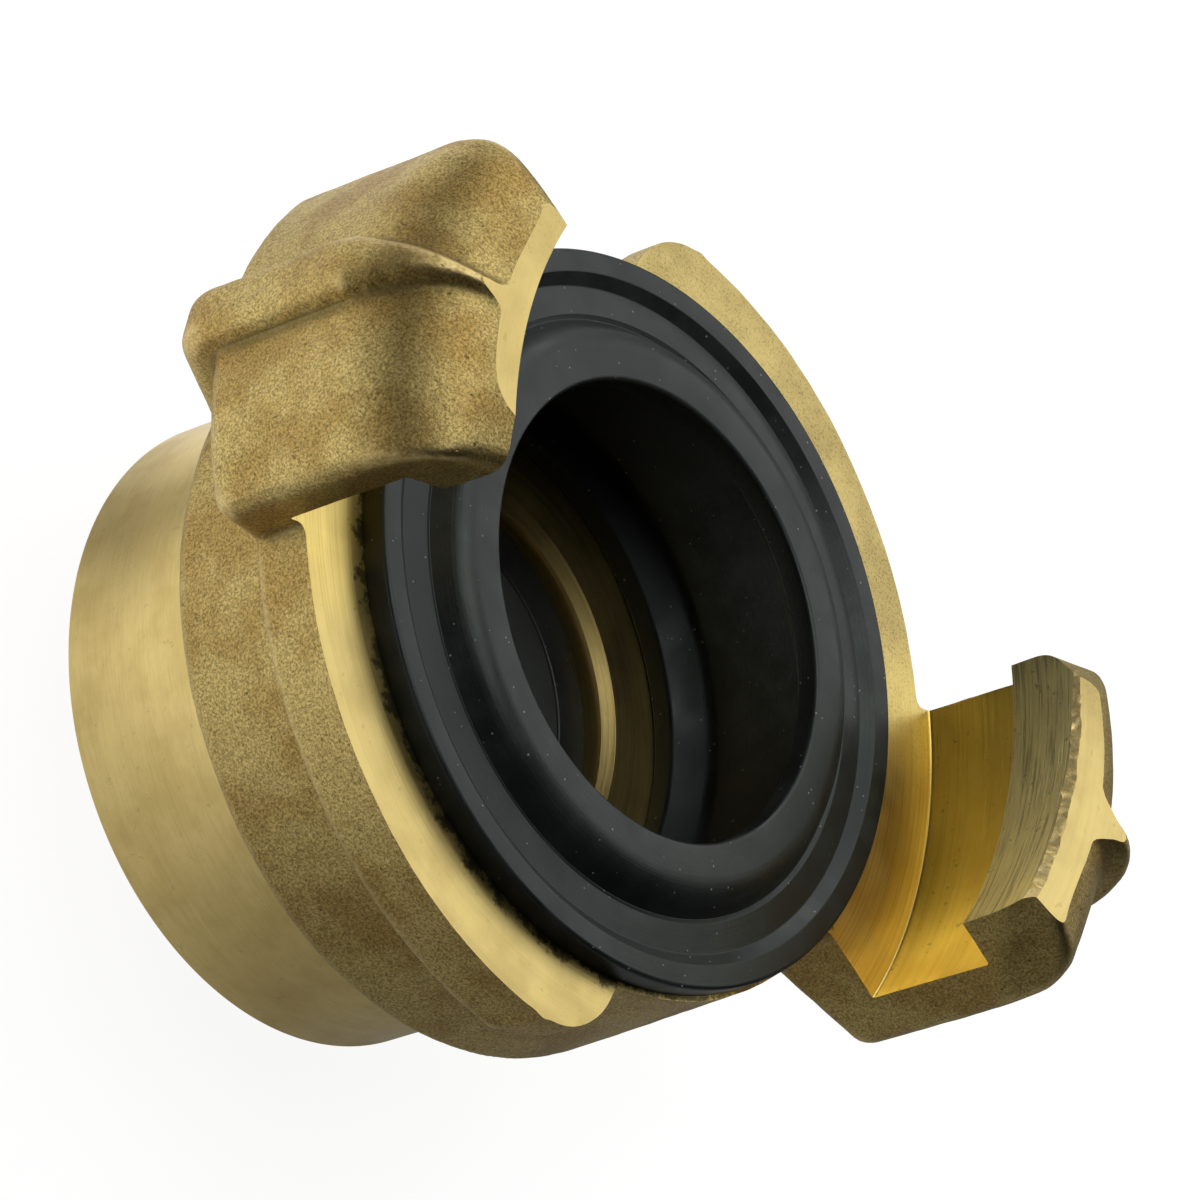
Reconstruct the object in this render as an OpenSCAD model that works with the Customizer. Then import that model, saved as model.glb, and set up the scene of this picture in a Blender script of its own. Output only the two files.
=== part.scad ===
// Claw hose coupling half with an internal pipe thread: one brass casting, machined where it
// seals, threads and grips, a moulded rubber face seal, and a flat gasket at the bottom of the thread.
// Millimetres. The axis is Z, the threaded end stands on Z = 0 and a claw lies on +X.

/* [Threaded end] */
// Outside diameter of the turned neck
neck_d = 30.7; // [30:0.1:33]
// Length of the turned neck, up to the cast barrel
neck_len = 9.8; // [9.2:0.1:11]
// Chamfer around the outer edge of the flat end
neck_chamfer = 0.35; // [0.2:0.05:0.6]
// Minor diameter of the internal thread, the crests (G 3/4)
thread_minor_d = 24.12; // [23.8:0.02:24.4]
// Major diameter of the internal thread, the roots (G 3/4)
thread_major_d = 26.44; // [26.1:0.02:26.8]
// Length of the thread, with its lead-in chamfer
thread_len = 7.6; // [6.6:0.1:8.2]
// Flat of the lead-in chamfer beyond the thread roots
lead_in_extra = 0.2; // [0.1:0.05:0.4]

/* [Barrel] */
// Diameter of the cast barrel at its back rim
barrel_back_d = 36.6; // [36:0.1:38]
// Diameter of the cast barrel at the machined face
barrel_front_d = 36; // [35.8:0.1:37]
// Rounding of the back rim
barrel_rim_r = 0.7; // [0.3:0.1:1.2]
// Height of the machined face above the flat end
face_h = 21.1; // [20:0.1:22.5]
// Thickness of the web between the thread and the seal pocket
web_t = 1.65; // [1.2:0.05:2.5]
// Diameter of the waterway through the web
web_bore_d = 19.6; // [18:0.1:21]
// Chamfer on the front edge of the waterway
web_chamfer = 0.5; // [0.2:0.05:0.8]
// Diameter of the seal pocket
pocket_d = 33.8; // [33.4:0.1:34.2]

/* [Wings] */
// Diameter over the two wings
wing_d = 43; // [42:0.1:44]
// Thickness of a wing at its outer edge
wing_t = 3.1; // [2.6:0.1:3.6]
// Slope of the backs of the wings and claws, down towards the barrel
back_slope = 20; // [15:1:25]
// Angle from a claw's middle to the centre of its wing's tip
wing_tip_angle = 91; // [84:1:98]
// Radius of the wing tip, seen from the front
wing_tip_r = 4.2; // [3.6:0.1:4.8]
// How much deeper the tip is than the wing's edge
wing_tip_drop = 1.1; // [0.6:0.1:1.5]
// Rounding under the wing tip
wing_tip_round = 2.8; // [1.5:0.1:3.2]

/* [Claws] */
// Outside diameter over the middle of the two claws, without their ribs
claw_d = 52; // [51:0.1:53]
// Radius of a claw's outer face, which is rounder than the body
claw_crown_r = 17; // [15:0.5:20]
// Half of the angle that a claw spans
claw_half_angle = 21.3; // [19:0.1:23]
// Distance between the two hooks, the coupling's nominal size
hook_gap = 40; // [39.6:0.1:40.4]
// Lean of the hooks' inner faces towards the axis, at the front
hook_lean = 0.25; // [0:0.05:0.4]
// Diameter of the turned groove under the hooks
groove_d = 44.9; // [44:0.1:45.6]
// Width of the groove, from the machined face to the hook
groove_w = 7.05; // [6.5:0.05:7.6]
// Thickness of the hook, up to the claw's front face
hook_t = 4.05; // [3.6:0.05:4.6]
// How far the claw's back corner lies behind the machined face
claw_back_l = 2; // [1.6:0.1:3]
// Rounding of the claw's back corner
claw_back_r = 1.4; // [0.8:0.1:2]
// Rounding along the claw's long edges
claw_edge_r = 1.2; // [0.6:0.1:1.8]
// Radial thickness of the claw's front face
claw_front_t = 2; // [1.6:0.1:2.6]
// Width of the claw's front face
claw_front_w = 12.3; // [11:0.1:13]
// Height of the sloping nose, back from the front face
nose_len = 2.6; // [2.2:0.1:3.2]
// Rounding of the nose's sides, seen from outside
nose_side_r = 4; // [2:0.1:4]
// Rounding of the knee between the outer face and the nose
nose_knee_r = 2.4; // [1:0.1:3]

/* [Ribs] */
// Width of the rib along the middle of a claw
rib_w = 3; // [2.4:0.1:3.6]
// Diameter over the crests of the two ribs
rib_d = 54.4; // [53.4:0.1:56]
// How far the rib's back corner lies behind the machined face
rib_back_l = 2.5; // [2:0.1:3]
// Slope of the rib's tail, down towards the barrel
rib_slope = 26; // [22:1:30]
// Radius at which the rib's tip meets the front face
rib_front_r = 24.2; // [23.4:0.1:24.6]
// How far behind the front face the rib's crest turns in towards its tip
rib_knee_l = 3.6; // [3:0.1:4.5]
// Shoulder between that knee and the tip, outwards and backwards from the tip
rib_shoulder = [0.6, 0.75];
// How much the rib's root stands into the front face's cut, above its tip
rib_root_rise = 0.6; // [0.3:0.1:0.9]

/* [Face seal] */
// Diameter of the seal's outer rim, which lies on the machined face
seal_rim_d = 35.5; // [35:0.1:35.8]
// Height of the rim above the machined face
seal_rim_h = 1.3; // [1.1:0.05:1.6]
// Width of the slope from the rim's top down to the land
seal_step_w = 0.6; // [0.4:0.1:0.8]
// Width of the rim's flat top
seal_rim_w = 1.15; // [0.8:0.05:1.4]
// Width of the land between the rim and the lip
seal_land_w = 1.4; // [1:0.1:1.6]
// Height of the land's outer edge above the machined face
seal_land_h = 0.85; // [0.6:0.05:1]
// How much the land rises towards the lip
seal_land_rise = 0.2; // [0.1:0.05:0.3]
// Width of the crease between the land and the lip
seal_crease_w = 0.25; // [0.2:0.05:0.3]
// Depth of that crease
seal_crease_t = 0.1; // [0.05:0.05:0.15]
// Height of the sealing lip above the machined face
seal_lip_h = 2.32; // [2:0.02:2.7]
// Width of the lip, from its bore to its rounded outer corner
seal_lip_w = 2.4; // [2:0.1:2.8]
// Rounding of the lip's outer corner
seal_lip_r = 1.8; // [1:0.1:2]
// Diameter of the seal's bore
seal_bore_d = 22.1; // [21.4:0.1:23]
// Length of the bore
seal_bore_l = 1.2; // [0.9:0.1:1.6]
// Depth of the lip where it joins the wall
seal_root_l = 3.6; // [3:0.1:4.2]
// Diameter of the hollow behind the lip, which water pressure spreads
seal_hollow_d = 29.4; // [28.8:0.1:30]
// Inner diameter of the seal's foot, on the pocket floor
seal_foot_d = 26; // [25:0.1:27]
// Thickness of the foot's edge
seal_foot_t = 1.2; // [0.8:0.1:1.6]
// Height at which the foot's slope reaches the hollow's wall
seal_foot_l = 2.4; // [2:0.1:3]
// Rounding of the seal's small outer edges
seal_edge_r = 0.2; // [0.1:0.05:0.25]
// Rounding inside the hollow
seal_hollow_r = 1; // [0.6:0.1:1.2]
// Gap between the seal's wall and the pocket
seal_fit = 0.1; // [0.05:0.01:0.2]

/* [Thread gasket] */
// Inner diameter of the flat gasket
gasket_bore_d = 16; // [14:0.1:18]
// Gap between the gasket's edge and the relief groove
gasket_fit = 0.1; // [0.05:0.01:0.2]
// Gap between the gasket's back and the last thread
gasket_end_gap = 0.1; // [0.05:0.01:0.3]

/* [Hidden] */

// Segments of a full turn, of a rounded corner and of a rib's rounding
$fn = 128;
arc_steps = 6;
rib_fn = 24;
// A cut runs this far past the faces that it opens
past = 1;

brass = "#b3924c";
rubber = "#24282b";

claw_r = claw_d / 2;
crown_x = claw_r - claw_crown_r;
groove_r = groove_d / 2;
barrel_front_r = barrel_front_d / 2;
hook_z = face_h + groove_w;
claw_h = hook_z + hook_t;
pocket_floor = neck_len + web_t;
relief_r = thread_major_d / 2 + lead_in_extra;
wing_edge_z = face_h - wing_t;
wing_tip_c = wing_d / 2 - wing_tip_r;
claw_edge = [cos(claw_half_angle), sin(claw_half_angle)] * (
    crown_x * cos(claw_half_angle)
    + sqrt(pow(claw_crown_r, 2) - pow(crown_x * sin(claw_half_angle), 2)));

// Height of the sloping backs at a given radius
function back_z(r) = wing_edge_z - (wing_d / 2 - r) * tan(back_slope);

function unit(v) = v / norm(v);
function point(c) = [c[0], c[1]];

// Points of the arc that rounds corner b, between its neighbours a and c
function corner_arc(a, b, c, r) =
    let(
        to_a = unit(a - b),
        to_c = unit(c - b),
        half = acos(to_a * to_c) / 2,
        centre = b + unit(to_a + to_c) * r / sin(half),
        first = b + to_a * r / tan(half) - centre,
        last = b + to_c * r / tan(half) - centre,
        start = atan2(first[1], first[0]),
        sweep = (atan2(last[1], last[0]) - start + 540) % 360 - 180
    )
    [for (i = [0 : arc_steps]) centre + r * [cos(start + sweep * i / arc_steps),
                                             sin(start + sweep * i / arc_steps)]];

// Outline with rounded corners, from a list of [x, y, radius]
function rounded(p) =
    let(n = len(p))
    [for (i = [0 : n - 1])
        each (p[i][2] == 0
            ? [point(p[i])]
            : corner_arc(point(p[(i + n - 1) % n]), point(p[i]), point(p[(i + 1) % n]), p[i][2]))];

// Turned neck of the threaded end
module neck() {
    rotate_extrude()
        polygon([
            [0, 0],
            [neck_d / 2 - neck_chamfer, 0],
            [neck_d / 2, neck_chamfer],
            [neck_d / 2, neck_len + past],
            [0, neck_len + past]
        ]);
}

// Cast barrel, which tapers a little towards the machined face
module barrel() {
    rotate_extrude()
        polygon(rounded([
            [0, neck_len, 0],
            [barrel_back_d / 2, neck_len, barrel_rim_r],
            [barrel_front_r, face_h, 0],
            [0, face_h, 0]
        ]));
}

// Wing that the other half's hook slides under, with its deeper rounded tip
module wing() {
    rotate_extrude(angle = wing_tip_angle)
        polygon([
            [pocket_d / 2 - past, back_z(pocket_d / 2 - past)],
            [wing_d / 2, wing_edge_z],
            [wing_d / 2, face_h],
            [pocket_d / 2 - past, face_h]
        ]);
    rotate([0, 0, wing_tip_angle]) translate([wing_tip_c, 0, 0])
        rotate_extrude()
            polygon(rounded([
                [0, wing_edge_z - wing_tip_drop, 0],
                [wing_tip_r, wing_edge_z - wing_tip_drop, wing_tip_round],
                [wing_tip_r, face_h, 0],
                [0, face_h, 0]
            ]));
}

// Outline of a claw in its middle plane, measured from the centre of its outer face
module claw_profile() {
    inner = pocket_d / 2 - crown_x;
    back = face_h - claw_back_l;
    polygon(rounded([
        [inner, back - (claw_crown_r - inner) * tan(back_slope), 0],
        [claw_crown_r, back, claw_back_r],
        [claw_crown_r, claw_h - nose_len, nose_knee_r],
        [hook_gap / 2 + claw_front_t - crown_x, claw_h, 0],
        [inner, claw_h, 0]
    ]));
}

// Outline of a claw from the front, with rounded long edges
module claw_plan() {
    polygon(rounded([
        [0, 0, 0],
        [claw_edge[0], -claw_edge[1], claw_edge_r],
        [crown_x + claw_crown_r * claw_crown_r / (claw_edge[0] - crown_x), 0, 0],
        [claw_edge[0], claw_edge[1], claw_edge_r]
    ]));
}

// Outline of a claw from outside, with the rounded nose that the front face cuts
module claw_elevation() {
    half = claw_edge[1] + past / 4;
    polygon(rounded([
        [-half, 0, 0],
        [half, 0, 0],
        [half, claw_h - nose_len, nose_side_r],
        [claw_front_w / 2, claw_h, 0],
        [-claw_front_w / 2, claw_h, 0],
        [-half, claw_h - nose_len, nose_side_r]
    ]));
}

// Cast claw before the groove is turned: where its three outlines meet
module claw() {
    intersection() {
        translate([crown_x, 0, 0]) rotate_extrude() claw_profile();
        linear_extrude(claw_h) claw_plan();
        rotate([90, 0, 90]) linear_extrude(claw_r + past) claw_elevation();
    }
}

// Rounded rib over the claw, from its tail on the barrel to its tip in the front face
module rib() {
    r = rib_w / 2;
    crest = rib_d / 2 - r;
    back = face_h - rib_back_l;
    tip = [rib_front_r, claw_h - r];
    hull()
        for (p = [
            [pocket_d / 2, back - (crest - pocket_d / 2) * tan(rib_slope)],
            [crest, back],
            [crest, claw_h - rib_knee_l],
            tip + [rib_shoulder[0], -rib_shoulder[1]],
            tip,
            [hook_gap / 2 + claw_front_t, tip[1] + rib_root_rise],
            [pocket_d / 2, claw_h - hook_t]
        ])
            translate([p[0], 0, p[1]]) sphere(r, $fn = rib_fn);
}

// Pipe thread at its minor diameter, with its lead-in chamfer and the relief groove behind it
module thread_cuts() {
    lead_in = relief_r - thread_minor_d / 2;
    translate([0, 0, -past]) cylinder(h = neck_len, r = thread_minor_d / 2);
    rotate_extrude()
        polygon([
            [0, -past],
            [relief_r + past, -past],
            [relief_r, 0],
            [thread_minor_d / 2, lead_in],
            [0, lead_in]
        ]);
    translate([0, 0, thread_len]) cylinder(h = neck_len - thread_len, r = relief_r);
}

// Waterway through the web and the pocket that holds the seal
module pocket_cuts() {
    translate([0, 0, neck_len - past]) cylinder(h = face_h, r = web_bore_d / 2);
    translate([0, 0, pocket_floor - web_chamfer])
        cylinder(h = web_chamfer, r1 = web_bore_d / 2, r2 = web_bore_d / 2 + web_chamfer);
    translate([0, 0, pocket_floor]) cylinder(h = face_h, r = pocket_d / 2);
}

// Groove turned behind the hooks, the hooks' inner faces and the claws' front faces
module claw_cuts() {
    translate([0, 0, face_h]) cylinder(h = groove_w, r = groove_r);
    translate([0, 0, hook_z - past / 2])
        cylinder(h = hook_t + past, r1 = hook_gap / 2, r2 = hook_gap / 2 - hook_lean);
    translate([-rib_d, -rib_d, claw_h]) cube([2 * rib_d, 2 * rib_d, rib_w]);
}

module coupling_body() {
    color(brass)
        difference() {
            union() {
                neck();
                barrel();
                for (a = [0, 180])
                    rotate([0, 0, a]) {
                        wing();
                        claw();
                        rib();
                    }
            }
            thread_cuts();
            pocket_cuts();
            claw_cuts();
        }
}

// Moulded seal: foot, hollow wall, overhanging rim, land and sealing lip
module face_seal() {
    wall_r = pocket_d / 2 - seal_fit;
    rim_r = seal_rim_d / 2;
    step_r = rim_r - seal_rim_w;
    land_r = step_r - seal_step_w;
    crease_r = land_r - seal_land_w;
    bore_r = seal_bore_d / 2;
    hollow_r = seal_hollow_d / 2;
    foot_r = seal_foot_d / 2;
    rim_z = face_h + seal_rim_h;
    land_z = face_h + seal_land_h;
    crease_z = land_z + seal_land_rise;
    lip_z = face_h + seal_lip_h;
    color(rubber)
        rotate_extrude()
            polygon(rounded([
                [wall_r, pocket_floor, seal_edge_r],
                [wall_r, face_h, 0],
                [rim_r, face_h, 0],
                [rim_r, rim_z, seal_edge_r],
                [step_r, rim_z, seal_edge_r],
                [land_r, land_z, seal_crease_t],
                [crease_r, crease_z, seal_crease_t],
                [crease_r - seal_crease_w, crease_z - seal_crease_t, 0],
                [bore_r + seal_lip_w, lip_z, seal_lip_r],
                [bore_r, lip_z, seal_edge_r],
                [bore_r, lip_z - seal_bore_l, seal_edge_r],
                [hollow_r, lip_z - seal_root_l, seal_hollow_r],
                [hollow_r, pocket_floor + seal_foot_l, seal_hollow_r],
                [foot_r, pocket_floor + seal_foot_t, seal_edge_r],
                [foot_r, pocket_floor, seal_edge_r]
            ]));
}

// Flat gasket in the relief groove, pressed against the web
module thread_gasket() {
    color(rubber)
        translate([0, 0, thread_len + gasket_end_gap])
            difference() {
                cylinder(h = neck_len - thread_len - gasket_end_gap, r = relief_r - gasket_fit);
                translate([0, 0, -past]) cylinder(h = neck_len, r = gasket_bore_d / 2);
            }
}

coupling_body();
face_seal();
thread_gasket();
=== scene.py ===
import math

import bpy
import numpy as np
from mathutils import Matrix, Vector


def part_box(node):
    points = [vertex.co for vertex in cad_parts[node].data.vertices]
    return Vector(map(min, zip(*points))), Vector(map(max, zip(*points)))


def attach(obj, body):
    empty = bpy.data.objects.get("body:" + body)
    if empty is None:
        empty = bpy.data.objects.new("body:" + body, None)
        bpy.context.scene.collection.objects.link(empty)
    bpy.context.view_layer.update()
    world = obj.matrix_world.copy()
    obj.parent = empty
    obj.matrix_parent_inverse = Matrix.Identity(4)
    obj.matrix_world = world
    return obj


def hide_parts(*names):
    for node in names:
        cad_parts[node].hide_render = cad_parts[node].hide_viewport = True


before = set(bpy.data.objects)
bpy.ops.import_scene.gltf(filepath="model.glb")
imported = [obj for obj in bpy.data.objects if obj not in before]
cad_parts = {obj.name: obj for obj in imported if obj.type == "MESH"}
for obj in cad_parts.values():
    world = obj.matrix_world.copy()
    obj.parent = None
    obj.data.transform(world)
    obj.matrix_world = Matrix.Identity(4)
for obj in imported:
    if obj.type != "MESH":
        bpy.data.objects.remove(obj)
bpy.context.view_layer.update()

# Looks of a claw hose coupling half. The body is made as the real one is: a casting with rounded
# edges and a grained skin, from which turned surfaces with crisp edges are then cut.
# Shapes are worked out in millimetres and scaled to metres when a mesh is made.

import openvdb
from mathutils import Matrix, Vector

MM = 0.001

# Sides of a turned surface, and the angle in degrees from which an edge is sharp
TURN = 256
BRASS_SHARP, RUBBER_SHARP = 32, 40

# Cells of the noise before it repeats
NOISE_CELLS = 32

# Camera, fitted to the photograph: place in millimetres, and the directions of its picture
CAMERA_PLACE = Vector((-194.14, -194.94, 233.92))
CAMERA_RIGHT = Vector((0.636802, 0.188029, 0.747749))
CAMERA_UP = Vector((-0.535790, 0.805308, 0.253790))
CAMERA_LENS = 225
CAMERA_SENSOR = 36

# Heights of the turned faces, from the frame where it shows them
CLAW_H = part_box("coupling_body")[1].z / MM
POCKET_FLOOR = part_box("face_seal")[0].z / MM
GASKET_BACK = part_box("thread_gasket")[0].z / MM
NECK_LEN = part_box("thread_gasket")[1].z / MM
FACE_H = 21.1
HOOK_Z = 28.15

# Radii of the turned faces
NECK_R = 15.45
NECK_CHAMFER = 0.12
POCKET_R = 16.9
GROOVE_R = 22.45
HOOK_R = 20.0
HOOK_LEAN = 0.35
WATER_R = 9.8
WATER_CHAMFER = 0.5

# Small roundings of the turned faces
NECK_CHAMFER_R = 0.05
POCKET_FOOT_R = 0.15
GROOVE_FOOT_R, GROOVE_ROOF_R = 0.14, 0.15

# How far tools reach past the faces that they cut from, how deep the shoulder's tool cuts the
# barrel's back, how far it reaches past it and how far inside the neck it starts, and how far the
# neck runs into the barrel
TOOL_PAST = 1
FRONT_TOOL_END = CLAW_H + 3
TOP_TOOL_R, TOP_TOOL_H = 40, 10
SHOULDER_CUT, SHOULDER_PAST, SHOULDER_INSIDE = 0.04, 3, 0.5
NECK_INTO = 1.5

# Internal pipe thread
THREAD_MINOR_R = 12.06
THREAD_MAJOR_R = 13.22
THREAD_PITCH = 1.814
THREAD_LEN = 7.6
THREAD_LEAD_IN = 0.2
THREAD_FLANK = 0.72
THREAD_ROW = 0.13
THREAD_TURN = 192
RELIEF_R = 13.42

# Torn corner of the +X hook: its section as (distance outside the hook's inner edge, height above
# the front), its unevenness as waves of (depth, size) outwards and upwards, and how much less it is
# cut towards -X and towards +Y
TORN_SECTION = ((-2, -0.62), (-0.02, -0.52), (0.14, -0.2), (0.34, 0.06), (0.44, 0.3), (-2, 0.3))
TORN_OUT = ((0.05, 0.9), (0.04, 0.25))
TORN_UP = ((0.12, 0.7), (0.06, 0.2))
TORN_OUT_SEED, TORN_UP_SEED = 7, 9
TORN_SPARED_X, TORN_SPARED_Y = 0.6, 0.12

# Face seal: radii with heights above the face, or above the pocket's floor for the hollow and foot
SEAL_ROOM = 0.1
SEAL_RIM_R, SEAL_RIM_H = 17.75, 1.3
SEAL_STEP_R, SEAL_LAND_R, SEAL_LAND_H = 16.6, 16.0, 0.85
SEAL_RISE_R, SEAL_RISE_H = 14.6, 1.05
SEAL_CREASE_R, SEAL_CREASE_H = 14.35, 0.93
SEAL_LIP_R, SEAL_LIP_H, SEAL_LIP_ROUND = 13.35, 2.32, 1.6
SEAL_BORE_R, SEAL_BORE_H = 11.05, 1.1
SEAL_HOLLOW_R, SEAL_ROOF_H, SEAL_HOLLOW_FLOOR = 14.7, -1.3, 2.4
SEAL_FOOT_R, SEAL_FOOT_H = 13.0, 1.2

# Thread gasket
GASKET_BORE_R = 8.0
GASKET_EDGE_R = 0.15

# Casting
BARREL_BACK_R = 18.3
BARREL_FRONT_R = 18.0
BARREL_RIM_R = 0.7
WING_R = 21.5
WING_EDGE_Z = 18.0
WING_SLOPE = math.radians(20)
WING_EDGE_R = 0.5
WING_TIP_ANGLE = math.radians(91)
WING_TIP_R = 4.15
WING_TIP_Z = 16.9
WING_TIP_ROUND = 2.8
WING_TIP_FILLET = 0.8
WING_FILLET = 0.5
BARREL_FILLET = 0.7
CROWN_X = 9.0
CROWN_R = 17.0
CLAW_HALF_ANGLE = math.radians(21.3)
CLAW_BACK_R = 1.2
# Radius of the edges beside a claw's outside: along the claw, and at the front, which it reaches
# from that far below the front within that run. Then the cosine of the angle at which the faces meet
CLAW_EDGE_R = 1.2
NOSE_EDGE_R = 0.5
NOSE_EDGE_FROM, NOSE_EDGE_RUN = 4.8, 3
CLAW_EDGE_COSINE = 0.2
# A claw's nose is squarer away from the middle, most of all towards -Y. At this distance it has
# less radius, more reach and less lean
NOSE_SQUARE_Y = 7.0
NOSE_SQUARE_R, NOSE_SQUARE_REACH, NOSE_SQUARE_LEAN = 2.0, 1.0, math.radians(10)
# Where a claw's nose slopes are placed, from the axis
NOSE_X = 19.7
RIB_ROOT = 16.0
RIB_HALF = 1.6
RIB_ROUND = 1.0
RIB_ROUND_MOST = 0.9
RIB_BACK = (25.65, 18.6, 1.6)
RIB_SLOPE = math.radians(26.2)
RIB_BACK_R = 2.4
RIB_OUT = 27.2
RIB_NARROW_Z = 27.5
RIB_FILLET = 0.3
RIB_FILLET_RUN = 3
# The two claws differ a little, as castings do. "nose" is the bulging outside: its radius, where it
# meets the front from the crown's axis, and its lean there. "rib" is the rib's: radius, reach, lean,
# half width and shift at the front, and fillet there. "plus" and "minus" are the slopes towards +Y
# and -Y when the claw stands on +X: distance from the middle, turn about Z, lean and rounding.
# "extra" is what the side towards +Y has more, and "back_z" is the height where the back slope
# starts.
CLAW_ON_X = {
    "nose": (5.5, 13.05, 75), "rib": (4.6, 24.25, 69, 0.5, 0.1, 1.3),
    "plus": (6.2, 19, 45, 2.0), "minus": (6.85, 9.5, 18, 3.0),
    "extra": 0.3, "back_z": 18.5}
CLAW_ON_MINUS_X = {
    "nose": (5.8, 12.4, 78), "rib": (6.0, 23.0, 72.5, 0.25, 0.05, 0.5),
    "plus": (5.15, 6, 76, 1.1), "minus": (6.3, 22, 47, 2.8),
    "extra": 0.0, "back_z": 18.95}
CAST_HALF = (28.4, 22.8)
CAST_BOTTOM = NECK_LEN - 1
CAST_TOP = 34.0
CAST_GRID_TOP = CAST_TOP + 0.6
CAST_WING_TOP = 22.2

# Unevenness of the casting's skin, as waves of (depth, size), and the share of it that is left at the
# front and the distance over which it fades
UNEVEN = ((0.04, 4.5), (0.018, 1.3), (0.012, 0.6))
UNEVEN_SEED = 1
UNEVEN_FRONT, UNEVEN_FADE = 0.3, 2

# Studio: brightness of the walls and of the light table that the part stands on, which both grow
# towards one side, and each light's name, azimuth and elevation, distance, size and power
BRIGHT_SIDE = math.radians(158)
SKY_DARK, SKY_BRIGHT = 0.03, 0.18
SKY_TILT, SKY_SPAN = 0.3, 0.9
TABLE_DARK, TABLE_BRIGHT = 0.17, 1.0
TABLE_FROM, TABLE_TO = -14, 36
# The table's darker strip: direction across it, place, half width and darkness, and where along
# it it begins and has its full darkness
STRIP_WAY, STRIP_PLACE, STRIP_HALF, STRIP_DEPTH = math.radians(31.5), -13, 9, 0.7
STRIP_FROM, STRIP_TO = 3, 12
# What the camera sees of the table
TABLE_SEEN = 0.92
FLOOR_HALF = 1500
# The floor keeps this clear of the part's foot, so that their faces don't flicker
FLOOR_GAP = 0.02
LIGHTS = (
    ("face_light", 45, 38, 0.6, (0.5, 0.5), 0.87),
    ("back_light", 97, 28, 0.6, (0.35, 0.35), 0.65),
    ("top_light", 105, 60, 0.6, (0.35, 0.35), 0.35),
    ("overhead_light", 165, 72, 0.6, (0.4, 0.4), 1.0),
)
LIGHT_AIM = Vector((0, 0, 0.015))

# How far out a place of the casting stands, in cells, where it starts to be rubbed and where it is
# bare, and how far in it lies where the painted shade of hollows and creases starts and where it is
# darkest
WEAR_FROM, WEAR_TO = 0.12, 0.42
CREASE_SHADE_FROM, CREASE_SHADE_TO = -0.06, -0.3
# Size of the surroundings that it is compared with, and how often the result is smoothed
WEAR_AND_SHADE_REACH = 1.2
WEAR_AND_SHADE_PASSES = 2

# Size of the casting's cells, and the distance to which they know the surface
CELL = 0.21
BAND = 3 * CELL

# Most cosine between two directions for which a fillet is worked out
FILLET_COSINE = 0.97


# Small geometry helpers

def unit(v):
    """Direction of v"""
    return v / np.linalg.norm(v)


def corner_arc(a, b, c, r, steps):
    """Points of the arc that rounds corner b, between its neighbours a and c"""
    a, b, c = np.array(a, float), np.array(b, float), np.array(c, float)
    to_a, to_c = unit(a - b), unit(c - b)
    half = math.acos(np.clip(to_a @ to_c, -1, 1)) / 2
    centre = b + unit(to_a + to_c) * r / math.sin(half)
    first = b + to_a * r / math.tan(half) - centre
    last = b + to_c * r / math.tan(half) - centre
    start = math.atan2(first[1], first[0])
    sweep = (math.atan2(last[1], last[0]) - start + 3 * math.pi) % (2 * math.pi) - math.pi
    angles = start + sweep * np.linspace(0, 1, steps + 1)
    return [tuple(centre + r * np.array((math.cos(t), math.sin(t)))) for t in angles]


def rounded(points, steps=6):
    """Outline with rounded corners, from a list of (x, y, radius)"""
    out = []
    for i, (x, y, r) in enumerate(points):
        if r == 0:
            out.append((x, y))
        else:
            after = points[(i + 1) % len(points)]
            out += corner_arc(points[i - 1][:2], (x, y), after[:2], r, steps)
    return out


def value_noise(p, size, seed):
    """Smooth noise of about -1 to 1 at the points p, with features of that size"""
    table = np.random.default_rng(seed).uniform(-1, 1, (NOISE_CELLS,) * 3)
    q = p / size
    cell = np.floor(q).astype(int)
    f = q - cell
    f = f * f * (3 - 2 * f)
    total = np.zeros(len(p))
    for corner in np.ndindex(2, 2, 2):
        corner = np.array(corner)
        weight = np.prod(np.where(corner == 1, f, 1 - f), axis=1)
        i = (cell + corner) % NOISE_CELLS
        total += weight * table[i[:, 0], i[:, 1], i[:, 2]]
    return total


def waves(p, sizes, seed):
    """Sum of noises at the points p, from a list of (depth, size)"""
    return sum(depth * value_noise(p, size, seed + i) for i, (depth, size) in enumerate(sizes))


def new_object(name, vertices, faces, materials=(), indices=None):
    """Mesh object from vertices in millimetres"""
    mesh = bpy.data.meshes.new(name)
    mesh.from_pydata([tuple(v) for v in np.array(vertices) * MM], [], faces)
    for m in materials:
        mesh.materials.append(m)
    if indices is not None:
        mesh.polygons.foreach_set("material_index", indices)
    mesh.update()
    made = bpy.data.objects.new(name, mesh)
    bpy.context.scene.collection.objects.link(made)
    return made


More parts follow.
